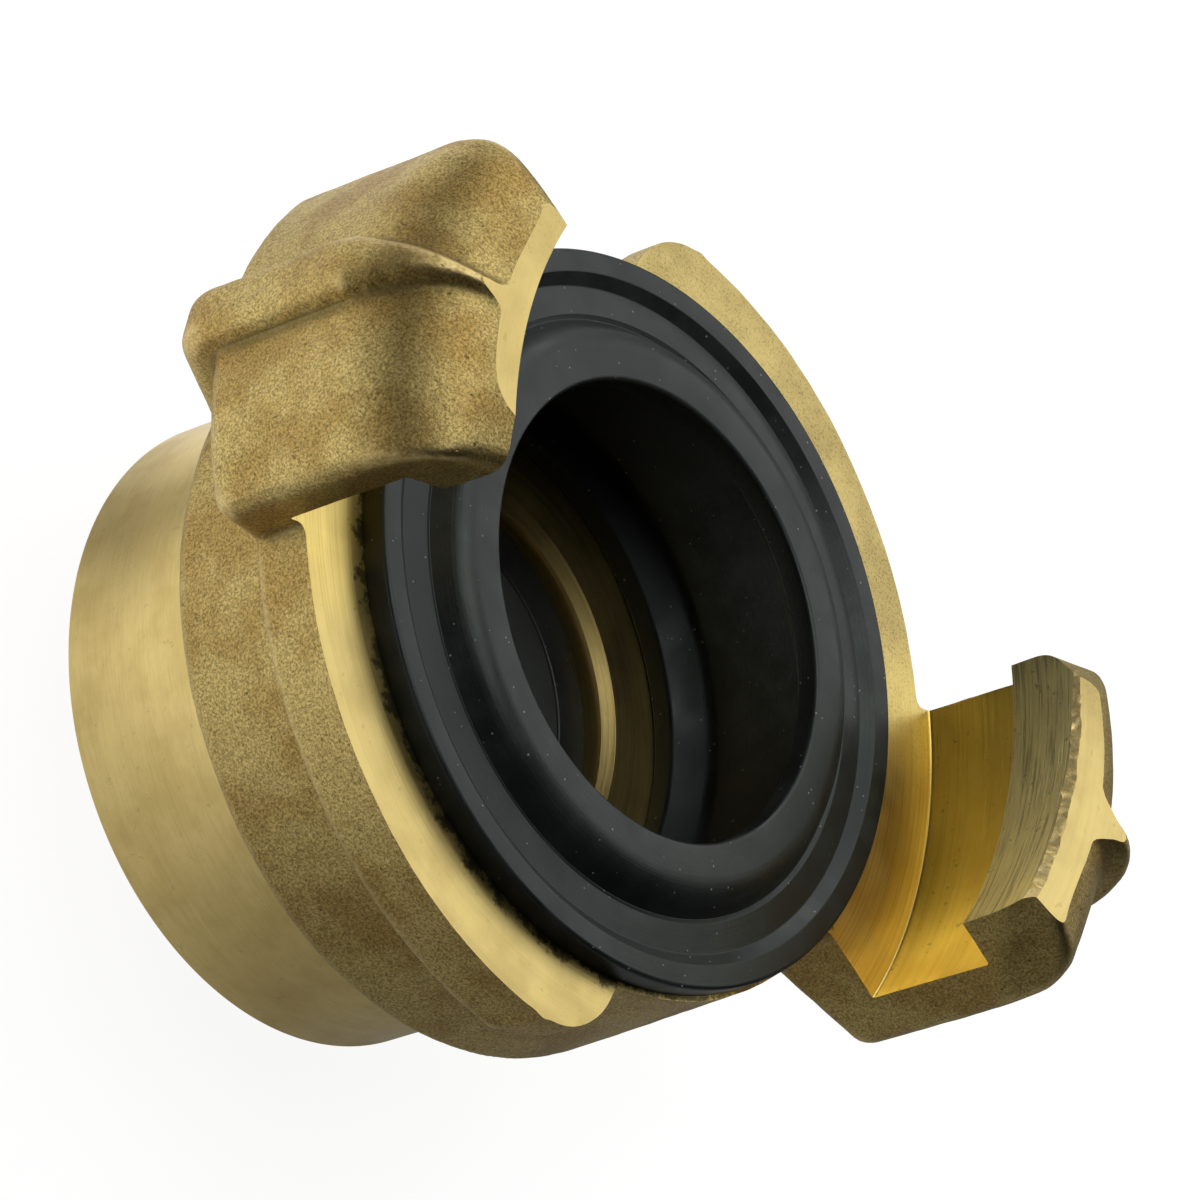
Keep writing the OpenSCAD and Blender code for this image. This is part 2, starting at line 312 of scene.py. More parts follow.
def revolve(name, outline, materials=(), slot=None, closed=False, shift=None, turn=TURN):
    """Solid of revolution about Z. An open outline starts and ends on the axis. slot(r, z, nz)
    picks a face's material, and shift(angle, r, z) moves a point by (dr, dz)."""
    outline = np.array(outline, float)
    angles = 2 * math.pi * np.arange(turn) / turn
    vertices, rings = [], []
    for r, z in outline:
        if r < 1e-6 and not closed:
            rings.append([len(vertices)])
            vertices.append((0, 0, z))
            continue
        dr, dz = shift(angles, r, z) if shift else (0, 0)
        rr, zz = r + dr + 0 * angles, z + dz + 0 * angles
        rings.append(list(range(len(vertices), len(vertices) + turn)))
        vertices += list(zip(rr * np.cos(angles), rr * np.sin(angles), zz))
    faces, indices = [], []
    spans = list(zip(rings, rings[1:])) + ([(rings[-1], rings[0])] if closed else [])
    for n, (low, high) in enumerate(spans):
        a, b = outline[n], outline[(n + 1) % len(outline)]
        dr, dz = b - a
        index = slot(*((a + b) / 2), -dr / max(np.hypot(dr, dz), 1e-9)) if slot else 0
        for i in range(turn):
            j = (i + 1) % turn
            if len(low) == 1 and len(high) == 1:
                continue
            if len(low) == 1:
                faces.append((low[0], high[i], high[j])[::-1])
            elif len(high) == 1:
                faces.append((low[i], low[j], high[0]))
            else:
                faces.append((low[i], low[j], high[j], high[i]))
            indices.append(index)
    made = new_object(name, vertices, faces, materials, indices)
    return outwards(made)


def volume(o):
    """Signed volume of a closed mesh"""
    mesh = o.data
    mesh.calc_loop_triangles()
    co = np.empty(len(mesh.vertices) * 3)
    mesh.vertices.foreach_get("co", co)
    co = co.reshape(-1, 3)
    tri = np.empty(len(mesh.loop_triangles) * 3, np.int32)
    mesh.loop_triangles.foreach_get("vertices", tri)
    a, b, c = (co[tri.reshape(-1, 3)[:, i]] for i in range(3))
    return float(np.einsum("ij,ij->i", a, np.cross(b, c)).sum() / 6)


def outwards(o):
    """Turns the faces outwards if they face inwards"""
    if volume(o) < 0:
        o.data.flip_normals()
    return o


def combine(o, tool, operation):
    """Cuts tool from o, or joins it to o, and deletes tool"""
    m = o.modifiers.new("cut", "BOOLEAN")
    m.object = tool
    m.operation = operation
    m.solver = "MANIFOLD"
    m.material_mode = "TRANSFER"
    graph = bpy.context.evaluated_depsgraph_get()
    made = bpy.data.meshes.new_from_object(o.evaluated_get(graph))
    o.modifiers.clear()
    old = o.data
    o.data = made
    bpy.data.meshes.remove(old)
    bpy.data.objects.remove(tool)


def finish_mesh(o, angle):
    """Smooth shading with sharp edges where faces meet at more than that angle"""
    mesh = o.data
    mesh.polygons.foreach_set("use_smooth", [True] * len(mesh.polygons))
    mesh.set_sharp_from_angle(angle=math.radians(angle))
    # Edges between two finishes are sharp too
    sizes = np.empty(len(mesh.polygons), np.int32)
    finish = np.empty(len(mesh.polygons), np.int32)
    edges = np.empty(len(mesh.loops), np.int32)
    mesh.polygons.foreach_get("loop_total", sizes)
    mesh.polygons.foreach_get("material_index", finish)
    mesh.loops.foreach_get("edge_index", edges)
    finish = np.repeat(finish, sizes)
    low = np.full(len(mesh.edges), len(mesh.materials))
    high = np.full(len(mesh.edges), -1)
    np.minimum.at(low, edges, finish)
    np.maximum.at(high, edges, finish)
    sharp = mesh.attributes.get("sharp_edge")
    sharp = sharp or mesh.attributes.new("sharp_edge", "BOOLEAN", "EDGE")
    now = np.empty(len(mesh.edges), bool)
    sharp.data.foreach_get("value", now)
    sharp.data.foreach_set("value", now | (low != high))


# Materials

class Nodes:
    """Short way to write a node tree: calls make nodes and return an output socket"""

    def __init__(self, name):
        self.material = bpy.data.materials.new(name)
        self.material.use_nodes = True
        self.tree = self.material.node_tree
        self.tree.nodes.clear()

    def add(self, kind, inputs=None, output=0, **settings):
        made = self.tree.nodes.new("ShaderNode" + kind)
        for key, value in settings.items():
            setattr(made, key, value)
        for key, value in (inputs or {}).items():
            if isinstance(value, bpy.types.NodeSocket):
                self.tree.links.new(value, made.inputs[key])
            else:
                made.inputs[key].default_value = value
        return made.outputs[output] if made.outputs else None

    def math(self, operation, a, b=0.0):
        return self.add("Math", {0: a, 1: b}, operation=operation)

    def dot(self, a, b):
        return self.add("VectorMath", {0: a, 1: b}, output=1, operation="DOT_PRODUCT")

    def noise(self, vector, scale, detail=2.0, roughness=0.5, distortion=0.0, w=None):
        inputs = {"Vector": vector, "Scale": scale, "Detail": detail, "Roughness": roughness,
                  "Distortion": distortion}
        if w is None:
            return self.add("TexNoise", inputs)
        inputs["W"] = w
        return self.add("TexNoise", inputs, noise_dimensions="4D")

    def ramp(self, value, low, high, a=0.0, b=1.0):
        """Smooth way from a, where value is low, to b, where it is high"""
        inputs = {"Value": value, "From Min": low, "From Max": high, "To Min": a, "To Max": b}
        return self.add("MapRange", inputs, interpolation_type="SMOOTHSTEP")

    def mix(self, factor, a, b, blend="MIX"):
        made = self.tree.nodes.new("ShaderNodeMix")
        made.data_type = "RGBA"
        made.blend_type = blend
        for key, value in (("Factor", factor), ("A", a), ("B", b)):
            socket = next(s for s in made.inputs if s.name == key and
                          s.type == ("VALUE" if key == "Factor" else "RGBA"))
            if isinstance(value, bpy.types.NodeSocket):
                self.tree.links.new(value, socket)
            else:
                socket.default_value = value if key == "Factor" else (*value, 1)
        return next(s for s in made.outputs if s.type == "RGBA")

    def millimetres(self):
        """Place on the object in millimetres"""
        place = self.add("TexCoord", output=3)
        return self.add("VectorMath", {0: place, 1: (1 / MM,) * 3}, operation="MULTIPLY")

    def turned(self, place):
        """Radius, height, and cosine and sine of the angle round the axis"""
        xyz = self.tree.nodes.new("ShaderNodeSeparateXYZ")
        self.tree.links.new(place, xyz.inputs[0])
        x, y, z = xyz.outputs
        square = self.math("ADD", self.math("MULTIPLY", x, x), self.math("MULTIPLY", y, y))
        r = self.math("SQRT", square)
        return r, z, self.math("DIVIDE", x, r), self.math("DIVIDE", y, r)

    def rings(self, turned, lines, turns, detail, roughness):
        """Noise stretched round the axis, with that many lines a millimetre"""
        r, z, cos, sin = turned
        place = self.add("CombineXYZ", {0: self.math("MULTIPLY", r, lines),
                                        1: self.math("MULTIPLY", z, lines),
                                        2: self.math("MULTIPLY", cos, turns)})
        return self.noise(place, 1.0, detail, roughness, w=self.math("MULTIPLY", sin, turns))

    def bump(self, height, distance, strength=1.0):
        return self.add("Bump", {"Height": height, "Strength": strength, "Distance": distance * MM})

    def surface(self, inputs):
        shader = self.add("BsdfPrincipled", inputs)
        self.add("OutputMaterial", {"Surface": shader})
        return self.material


def cast_brass():
    """Blasted casting: matt khaki bronze, sand grain, small pits, rubbed edges, and painted shade in
    its hollows and creases
    """
    n = Nodes("cast_brass")
    p = n.millimetres()
    grain = n.noise(p, 8.0, 4.0, 0.8)
    coarse = n.noise(p, 2.2, 2.0, 0.5)
    cloud = n.noise(p, 0.25, 3.0, 0.55)
    pit = n.ramp(n.noise(p, 3.1, 2.0, 0.5), 0.31, 0.25)
    edge = n.add("Attribute", output=2, attribute_name="edge")
    worn = n.ramp(edge, WEAR_FROM, WEAR_TO)
    worn = n.math("MULTIPLY", worn, n.ramp(coarse, 0.3, 0.55, 0.35, 1.0))
    colour = n.mix(n.ramp(grain, 0.33, 0.67), (0.25, 0.185, 0.06), (0.78, 0.60, 0.23))
    colour = n.mix(n.ramp(cloud, 0.40, 0.62), colour, (0.78, 0.70, 0.60), "MULTIPLY")
    colour = n.mix(n.math("MULTIPLY", worn, 0.75), colour, (0.80, 0.63, 0.28))
    # Painted shade: the casting's hollows and creases are darkened
    colour = n.mix(n.ramp(edge, CREASE_SHADE_FROM, CREASE_SHADE_TO, 0.0, 0.75), colour, (0.17, 0.13, 0.05))
    colour = n.mix(n.math("MULTIPLY", pit, 0.7), colour, (0.14, 0.10, 0.04))
    height = n.math("ADD", n.math("MULTIPLY", grain, 0.6), n.math("MULTIPLY", coarse, 0.8))
    height = n.math("SUBTRACT", height, n.math("MULTIPLY", pit, 0.5))
    rough = n.ramp(worn, 0.0, 1.0, 0.48, 0.36)
    return n.surface({"Base Color": colour, "Metallic": 1.0, "Roughness": rough,
                      "Normal": n.bump(height, 0.045, 0.7)})


def turned_brass(name, base, stain, roughness, lines=14.0, depth=0.01, contrast=0.5,
                 bands=0.4, pits=0.0, dirt=0.2, turns=1.4):
    """Machined brass with turning lines round the axis. Where it has pits, they are denser on the +Y
    half; the -Y half has a painted shadow and reflection of the seal's dark rim next to the seal,
    with some grime; and under the hooks it has a painted golden reflection and more scratches."""
    n = Nodes(name)
    p = n.millimetres()
    turned = n.turned(p)
    r, z, cos, sin = turned
    line = n.rings(turned, lines, turns, 3.0, 0.7)
    band = n.rings(turned, 1.3, 0.8, 2.0, 0.5)
    cloud = n.noise(p, 0.3, 4.0, 0.6)
    colour = n.mix(n.ramp(cloud, 0.4, 0.68), base, stain)
    colour = n.mix(n.ramp(band, 0.58, 0.38, 0.0, bands), colour, tuple(0.8 * c for c in stain))
    dark = tuple((0.75 - 0.35 * contrast) * c for c in base)
    colour = n.mix(n.ramp(line, 0.52, 0.36, 0.0, contrast), colour, dark)
    light = tuple(min(1.15 * c, 1.0) for c in base)
    colour = n.mix(n.ramp(line, 0.54, 0.66, 0.0, 0.6 * contrast), colour, light)
    spot = n.math("MULTIPLY", n.ramp(n.noise(p, 1.7, 3.0, 0.65), 0.36, 0.29), dirt)
    colour = n.mix(spot, colour, tuple(0.25 * c for c in base))
    height = line
    # Pits and scratches, with a painted shadow beside the seal and a painted reflection under the
    # hooks
    if pits:
        # Painted reflection: under the hooks the face takes the saturated gold of light bounced off
        # the hooks
        under = n.math("MULTIPLY", n.ramp(n.math("ABSOLUTE", cos), 0.8, 0.93), n.ramp(z, 26, 24))
        colour = n.mix(n.math("MULTIPLY", under, 0.8), colour, (1.0, 0.77, 0.24))
        scratch = n.math("MULTIPLY", under, n.ramp(line, 0.52, 0.38, 0.0, 0.5))
        colour = n.mix(scratch, colour, (0.55, 0.40, 0.10))
        side = n.ramp(sin, 0.05, 0.5, 0.1, 1.0)
        side = n.math("MULTIPLY", side, n.ramp(cloud, 0.3, 0.6, 0.6, 1.0))
        pit = n.math("MULTIPLY", n.ramp(n.noise(p, 8.0, 3.0, 0.65), 0.47, 0.33), side)
        height = n.math("ADD", height, n.math("MULTIPLY", pit, -pits))
        colour = n.mix(n.math("MULTIPLY", side, 0.75), colour, tuple(0.6 * c for c in base))
        colour = n.mix(n.math("MULTIPLY", pit, 0.6), colour, tuple(0.4 * c for c in base))
        # Painted shadow and reflection of the seal's dark rim, with some grime: a ragged dark band
        # beside the seal on the -Y half
        shade_and_grime_edge = n.math("MULTIPLY", n.math("SUBTRACT", n.noise(p, 0.9, 4.0, 0.7), 0.5), 4.0)
        seal_shade_and_grime = n.ramp(n.math("SUBTRACT", r, shade_and_grime_edge), 18.3, 17.7, 0.0, 0.85)
        seal_shade_and_grime = n.math("MULTIPLY", seal_shade_and_grime, n.ramp(sin, 0.1, -0.1))
        colour = n.mix(seal_shade_and_grime, colour, (0.11, 0.10, 0.05))
    rough = n.ramp(cloud, 0.35, 0.7, roughness, roughness + 0.1)
    return n.surface({"Base Color": colour, "Metallic": 1.0, "Roughness": rough,
                      "Normal": n.bump(height, depth)})


def burred_brass():
    """Bright torn metal along the +X hook's inner edge"""
    n = Nodes("burred_edge")
    p = n.millimetres()
    tear = n.noise(p, 6.0, 2.0, 0.6)
    colour = n.mix(n.ramp(tear, 0.3, 0.6), (0.88, 0.62, 0.20), (1.0, 0.82, 0.38))
    return n.surface({"Base Color": colour, "Metallic": 1.0, "Roughness": 0.45,
                      "Normal": n.bump(tear, 0.02)})


def rubber(name, base, dust):
    """Moulded rubber with fine texture, faint rings and dust"""
    n = Nodes(name)
    p = n.millimetres()
    cloud = n.noise(p, 0.35, 4.0, 0.6)
    fine = n.noise(p, 6.0, 2.0, 0.6)
    line = n.rings(n.turned(p), 9.0, 1.0, 2.0, 0.6)
    specks = n.add("TexVoronoi", {"Vector": p, "Scale": 1.7, "Randomness": 1.0}, feature="F1")
    dusty = n.ramp(n.noise(p, 0.6, 2.0, 0.5), 0.44, 0.54)
    speck = n.math("MULTIPLY", n.ramp(specks, 0.11, 0.05), dusty)
    colour = n.mix(n.ramp(cloud, 0.35, 0.7), base, tuple(1.5 * c for c in base))
    colour = n.mix(n.math("MULTIPLY", speck, dust), colour, (0.42, 0.43, 0.42))
    height = n.math("ADD", n.math("MULTIPLY", fine, 0.5), n.math("MULTIPLY", line, 0.7))
    rough = n.ramp(cloud, 0.3, 0.7, 0.34, 0.5)
    return n.surface({"Base Color": colour, "Metallic": 0.0, "Roughness": rough,
                      "Specular Tint": (0.88, 1.0, 0.92, 1), "Normal": n.bump(height, 0.012)})


def floor_paper():
    """White paper on a light table, which is brighter on one side and has a darker strip. The
    camera sees it as plain white."""
    n = Nodes("floor_paper")
    p = n.millimetres()
    fibre = n.noise(p, 0.8, 3.0, 0.6)
    paper = n.add("BsdfDiffuse", {"Color": n.mix(fibre, (0.22, 0.22, 0.22), (0.25, 0.25, 0.25))})
    bright = n.dot(p, (math.cos(BRIGHT_SIDE), math.sin(BRIGHT_SIDE), 0))
    table = n.ramp(bright, TABLE_FROM, TABLE_TO, TABLE_DARK, TABLE_BRIGHT)
    across = n.dot(p, (math.cos(STRIP_WAY), math.sin(STRIP_WAY), 0))
    across = n.math("ABSOLUTE", n.math("SUBTRACT", across, STRIP_PLACE))
    along = n.dot(p, (-math.sin(STRIP_WAY), math.cos(STRIP_WAY), 0))
    strip = n.math("MULTIPLY", n.ramp(across, STRIP_HALF, 0, 0.0, STRIP_DEPTH),
                   n.ramp(along, STRIP_FROM, STRIP_TO))
    table = n.math("MULTIPLY", table, n.math("SUBTRACT", 1.0, strip))
    seen = n.add("LightPath")
    strength = n.add("Mix", {"Factor": seen, "A": table, "B": TABLE_SEEN})
    glow = n.add("Emission", {"Color": (1, 1, 1, 1), "Strength": strength})
    n.add("OutputMaterial", {"Surface": n.add("AddShader", {0: paper, 1: glow})})
    return n.material


CAST = cast_brass()
FACE = turned_brass("turned_face", (0.82, 0.64, 0.24), (0.77, 0.59, 0.22), 0.31,
                    contrast=0.2, bands=0.3, pits=0.5)
NECK = turned_brass("turned_neck", (0.90, 0.70, 0.28), (0.78, 0.59, 0.22), 0.27,
                    lines=9.0, contrast=0.25, bands=0.12, turns=9.0)
# The groove's brass is a brighter, more saturated gold than the other turned faces: painted
# reflection of light bounced between the brass faces around it
GROOVE = turned_brass("turned_groove", (1.0, 0.78, 0.24), (0.95, 0.70, 0.18), 0.28,
                      lines=9.0, contrast=0.3, bands=0.2, dirt=0.45, turns=2.5)
LIP = turned_brass("turned_lip", (1.0, 0.86, 0.42), (0.90, 0.77, 0.37), 0.42,
                   lines=8.0, depth=0.035, contrast=0.85, bands=0.1, dirt=0.6, turns=5.0)
INSIDE = turned_brass("turned_inside", (0.78, 0.60, 0.23), (0.66, 0.50, 0.18), 0.35, lines=10.0)
BURR = burred_brass()
SEAL = rubber("seal_rubber", (0.016, 0.018, 0.018), 0.8)
GASKET = rubber("gasket_rubber", (0.012, 0.012, 0.013), 0.2)


# Casting, as distances to its surface

def round_max(a, b, r, cosine=0.0):
    """Meet of two shapes, with their edge rounded by r. cosine is that of the angle between the
    directions in which their surfaces face."""
    a, b = a + r, b + r
    corner = (a > b * cosine) & (b > a * cosine)
    sine = np.sqrt(1 - cosine ** 2)
    off = np.sqrt(np.maximum(a * a + b * b - 2 * a * b * cosine, 0)) / sine
    return np.where(corner, off, np.maximum(a, b)) - r


def slopes(a):
    """Direction in which a distance grows, at each place of the grid"""
    return np.stack(np.gradient(a, CELL))


def round_min(a, b, r):
    """Two shapes joined, with a fillet of radius r where they meet at an angle"""
    cosine = (slopes(a) * slopes(b)).sum(0)
    return -round_max(-a, -b, r, np.clip(cosine, -FILLET_COSINE, FILLET_COSINE))


def barrel_distance(r, z):
    """Barrel, which narrows a little towards the front"""
    side = r - (BARREL_BACK_R
                + (BARREL_FRONT_R - BARREL_BACK_R) * (z - NECK_LEN) / (FACE_H - NECK_LEN))
    return np.maximum(round_max(side, NECK_LEN - z, BARREL_RIM_R), z - CAST_WING_TOP)


def wing_distance(x, y, z, r):
    """Wing that starts at the +X claw and runs counter-clockwise to its deeper tip"""
    back = (WING_EDGE_Z - (WING_R - r) * math.tan(WING_SLOPE) - z) * math.cos(WING_SLOPE)
    section = round_max(r - WING_R, back, WING_EDGE_R, math.sin(WING_SLOPE))
    c, s = math.cos(WING_TIP_ANGLE), math.sin(WING_TIP_ANGLE)
    tx, ty = x * c + y * s, y * c - x * s
    tip = np.hypot(tx - (WING_R - WING_TIP_R), ty) - WING_TIP_R
    tip = round_max(tip, WING_TIP_Z - z, WING_TIP_ROUND)
    wing = round_min(np.maximum(section, np.maximum(-y, ty)), tip, WING_TIP_FILLET)
    return np.maximum(wing, z - CAST_WING_TOP)


def claw_side(x, off, z, extra, place, turn, lean, radius):
    """Side of a claw, rounded into the slope beside the front face. off is the distance from the
    middle plane."""
    side = off * math.cos(CLAW_HALF_ANGLE) - x * math.sin(CLAW_HALF_ANGLE) - extra
    turn, lean = math.radians(turn), math.radians(lean)
    level = (off - place) * math.cos(turn) - (x - NOSE_X) * math.sin(turn)
    slope = level * math.cos(lean) + (z - CLAW_H) * math.sin(lean)
    return round_max(side, slope, radius, math.cos(lean) * math.cos(CLAW_HALF_ANGLE - turn))


def bulge(out, z, radius, reach, lean):
    """Outside that turns with that radius into a slope, which meets the front at that reach. out is
    the distance from the outside."""
    slope = (out - reach) * np.cos(lean) + (z - CLAW_H) * np.sin(lean)
    return round_max(out, slope, radius, np.cos(lean))


def claw_distance(x, y, z, claw):
    """Claw on +X: crowned outside, flat sides, rounded nose and sloping back"""
    crown = np.hypot(x - CROWN_X, y) - CROWN_R
    back = (claw["back_z"] + crown * math.tan(WING_SLOPE) - z) * math.cos(WING_SLOPE)
    radius, reach, lean = claw["nose"]
    square = (np.clip(y, -NOSE_SQUARE_Y, NOSE_SQUARE_Y / 3) / NOSE_SQUARE_Y) ** 2
    reach = reach - CROWN_R + NOSE_SQUARE_REACH * square ** 2
    lean = math.radians(lean) - NOSE_SQUARE_LEAN * square
    outside = bulge(crown, z, radius - NOSE_SQUARE_R * square, reach, lean)
    outside = round_max(outside, back, CLAW_BACK_R, math.sin(WING_SLOPE))
    sides = np.maximum(claw_side(x, y, z, claw["extra"], *claw["plus"]),
                       claw_side(x, -y, z, 0, *claw["minus"]))
    near = np.clip((z - CLAW_H + NOSE_EDGE_FROM) / NOSE_EDGE_RUN, 0, 1)
    edge = CLAW_EDGE_R + (NOSE_EDGE_R - CLAW_EDGE_R) * near
    return np.maximum(round_max(outside, sides, edge, CLAW_EDGE_COSINE), z - CAST_TOP)


def rib_distance(x, y, z, claw):
    """Rib in the middle of the claw on +X, whose crest narrows towards its end on the front face"""
    radius, reach, lean, end_half, aside, _ = claw["rib"]
    bx, bz, off = RIB_BACK
    back = (x - bx) * math.sin(RIB_SLOPE) - (z - bz) * math.cos(RIB_SLOPE) - off
    middle = bulge(x - RIB_OUT, z, radius, reach - RIB_OUT, math.radians(lean))
    middle = round_max(middle, back, RIB_BACK_R, math.sin(RIB_SLOPE))
    narrow = np.clip((z - RIB_NARROW_Z) / (CLAW_H - RIB_NARROW_Z), 0, 1)
    half = RIB_HALF + (end_half - RIB_HALF) * narrow
    crest = np.minimum(RIB_ROUND, RIB_ROUND_MOST * half)
    rib = round_max(middle, np.abs(y + aside * narrow) - half, crest)
    return np.maximum(np.maximum(rib, RIB_ROOT - x), z - CAST_TOP)


def write_wear_and_shade(mesh, points, normals):
    """Attribute that says how far a place of the skin stands out of its surroundings, in cells, which
    sets its rubbed edges and its painted shade in hollows
    """
    ends = np.empty(len(mesh.edges) * 2, np.int32)
    mesh.edges.foreach_get("vertices", ends)
    a, b = ends.reshape(-1, 2).T
    total = len(points)
    count = np.bincount(np.concatenate((a, b)), minlength=total)

    def around(values):
        return (np.bincount(a, values[b], total) + np.bincount(b, values[a], total)) / count

    smooth = points.T
    for _ in range(round(WEAR_AND_SHADE_REACH / CELL)):
        smooth = np.stack([around(axis) for axis in smooth])
    out = ((points - smooth.T) * normals).sum(1) / CELL
    for _ in range(WEAR_AND_SHADE_PASSES):
        out = around(out)
    edge = mesh.attributes.new("edge", "FLOAT", "POINT")
    edge.data.foreach_set("value", out.astype(np.float32))


def casting():
    """Mesh of the casting's skin"""
    low = np.array((*(-np.ceil(np.array(CAST_HALF) / CELL) * CELL), CAST_BOTTOM))
    x, y = (np.arange(round(-2 * a / CELL) + 1) * CELL + a for a in low[:2])
    z = np.arange(low[2], CAST_GRID_TOP, CELL)
    x, y, z = (v.astype(np.float32) for v in (x, y, z))
    x, y, z = np.meshgrid(x, y, z, indexing="ij", sparse=True)
    r = np.hypot(x, y)
    wing = wing_distance(x, y, z, r)
    halves = []
    for shape in (CLAW_ON_X, CLAW_ON_MINUS_X):
        claw = claw_distance(x, y, z, shape)
        near = np.clip((z - RIB_NARROW_Z) / RIB_FILLET_RUN, 0, 1)
        fillet = RIB_FILLET + (shape["rib"][-1] - RIB_FILLET) * near
        ribbed = round_min(claw, rib_distance(x, y, z, shape) + 0 * claw, fillet)
        halves.append(round_min(ribbed, wing, WING_FILLET))
    both = np.minimum(halves[0], halves[1][::-1, ::-1])
    distance = round_min(barrel_distance(r, z) + 0 * both, both, BARREL_FILLET)
    grid = openvdb.FloatGrid(BAND)
    grid.copyFromArray(np.clip(distance, -BAND, BAND).astype(np.float32))
    points, quads = grid.convertToQuads(isovalue=0.0)
    points = np.array(points, float) * CELL + low
    faces = [tuple(int(i) for i in q) for q in quads]
    made = outwards(new_object("casting", points, faces, [CAST]))
    mesh = made.data
    normals = np.empty(len(mesh.vertices) * 3)
    mesh.vertices.foreach_get("normal", normals)
    write_wear_and_shade(mesh, points, normals.reshape(-1, 3))
    uneven = waves(points, UNEVEN, UNEVEN_SEED)
    uneven *= np.clip((CLAW_H - points[:, 2]) / UNEVEN_FADE, UNEVEN_FRONT, 1)
    points += normals.reshape(-1, 3) * uneven[:, None]
    mesh.vertices.foreach_set("co", (points * MM).ravel())
    mesh.update()
    return made


# Turned surfaces

def front_tool():
    """What the lathe takes from the front: pocket, face, grooves behind the hooks and the hooks"""
    outline = rounded([
        (0, NECK_LEN - TOOL_PAST, 0),
        (WATER_R, NECK_LEN - TOOL_PAST, 0),
        (WATER_R, POCKET_FLOOR - WATER_CHAMFER, 0),
        (WATER_R + WATER_CHAMFER, POCKET_FLOOR, 0),
        (POCKET_R, POCKET_FLOOR, POCKET_FOOT_R),
        (POCKET_R, FACE_H, 0),
        (GROOVE_R, FACE_H, GROOVE_FOOT_R),
        (GROOVE_R, HOOK_Z, GROOVE_ROOF_R),
        (HOOK_R, HOOK_Z, 0),
        (HOOK_R - HOOK_LEAN, FRONT_TOOL_END, 0),
        (0, FRONT_TOOL_END, 0)])
    finishes = [FACE, NECK, GROOVE, LIP, INSIDE]

    # The faces are told apart by a height or radius between them, and the level ones by their slope
    def slot(r, z, nz):
        if z < FACE_H - 0.2:
            finish = INSIDE
        elif abs(nz) > 0.8:
            finish = FACE if z < HOOK_Z - 1 else GROOVE
        else:
            finish = GROOVE if r > HOOK_R + 0.5 else LIP
        return finishes.index(finish)

    return revolve("front_tool", outline, finishes, slot)


def top_tool():
    """Levels the claws' front faces"""
    high = CLAW_H + TOP_TOOL_H
    outline = [(0, CLAW_H), (TOP_TOOL_R, CLAW_H), (TOP_TOOL_R, high), (0, high)]
    return revolve("top_tool", outline, [FACE])


def torn_tool():
    """Torn corner between the +X hook's inner face and the front, wider on the -Y half"""
    edge = HOOK_R - HOOK_LEAN * (CLAW_H - HOOK_Z) / (FRONT_TOOL_END - HOOK_Z)
    outline = [(edge + out, CLAW_H + up) for out, up in TORN_SECTION]

    # The tool's inner side is clear of the body and stays round
    def shift(angles, r, z):
        if r < HOOK_R - 1:
            return 0, 0
        p = np.stack((HOOK_R * np.cos(angles), HOOK_R * np.sin(angles), z + 0 * angles), axis=1)
        spared = (TORN_SPARED_X * np.clip(0.5 - np.cos(angles), 0, 1)
                  + TORN_SPARED_Y * np.clip(3 * np.sin(angles), 0, 1))
        return waves(p, TORN_OUT, TORN_OUT_SEED) - spared, waves(p, TORN_UP, TORN_UP_SEED)

    return revolve("torn_tool", outline, [BURR], closed=True, shift=shift, turn=4 * TURN)


def neck_solid():
    """Turned neck"""
    outline = rounded([
        (0, 0, 0), (NECK_R - NECK_CHAMFER, 0, 0), (NECK_R, NECK_CHAMFER, NECK_CHAMFER_R),
        (NECK_R, NECK_LEN + NECK_INTO, 0), (0, NECK_LEN + NECK_INTO, 0)])
    return revolve("neck", outline, [NECK])


def shoulder_tool():
    """Faces the barrel's back"""
    inner, outer = NECK_R - SHOULDER_INSIDE, BARREL_BACK_R + SHOULDER_PAST
    low, high = NECK_LEN - SHOULDER_PAST, NECK_LEN + SHOULDER_CUT
    outline = [(inner, low), (outer, low), (outer, high), (inner, high)]
    return revolve("shoulder_tool", outline, [NECK], closed=True)


def thread_tool():
    """What the lathe and the tap take from the threaded end"""
    rows = np.linspace(0, THREAD_LEN, round(THREAD_LEN / THREAD_ROW) + 1)
    depth = THREAD_MAJOR_R - THREAD_MINOR_R
    mouth = THREAD_MAJOR_R + THREAD_LEAD_IN
    outline = [(0, -TOOL_PAST), (mouth + TOOL_PAST, -TOOL_PAST)]
    outline += [(max(THREAD_MINOR_R, mouth - z), z) for z in rows]
    outline += [(RELIEF_R, THREAD_LEN), (RELIEF_R, NECK_LEN), (0, NECK_LEN)]

    # The rows between the mouth and the relief groove are moved out along the helix
    def shift(angles, r, z):
        if not (0 <= z <= THREAD_LEN and r < RELIEF_R):
            return 0, 0
        turn = (z / THREAD_PITCH - angles / (2 * math.pi)) % 1
        flank = np.clip(0.5 + THREAD_FLANK * np.sin(2 * math.pi * turn), 0, 1)
        return np.maximum(THREAD_MINOR_R + depth * flank - r, 0), 0

    return revolve("thread_tool", outline, [INSIDE], shift=shift, turn=THREAD_TURN)


def body():
    """Brass body: the casting with its turned surfaces"""
    o = casting()
    for m in (FACE, NECK, GROOVE, LIP, INSIDE, BURR):
        o.data.materials.append(m)
    combine(o, shoulder_tool(), "DIFFERENCE")
    combine(o, neck_solid(), "UNION")
    combine(o, front_tool(), "DIFFERENCE")
    combine(o, top_tool(), "DIFFERENCE")
    combine(o, torn_tool(), "DIFFERENCE")
    combine(o, thread_tool(), "DIFFERENCE")
    o.name = "brass_body"
    finish_mesh(o, BRASS_SHARP)
    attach(o, "root")
    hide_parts("coupling_body")
    return o


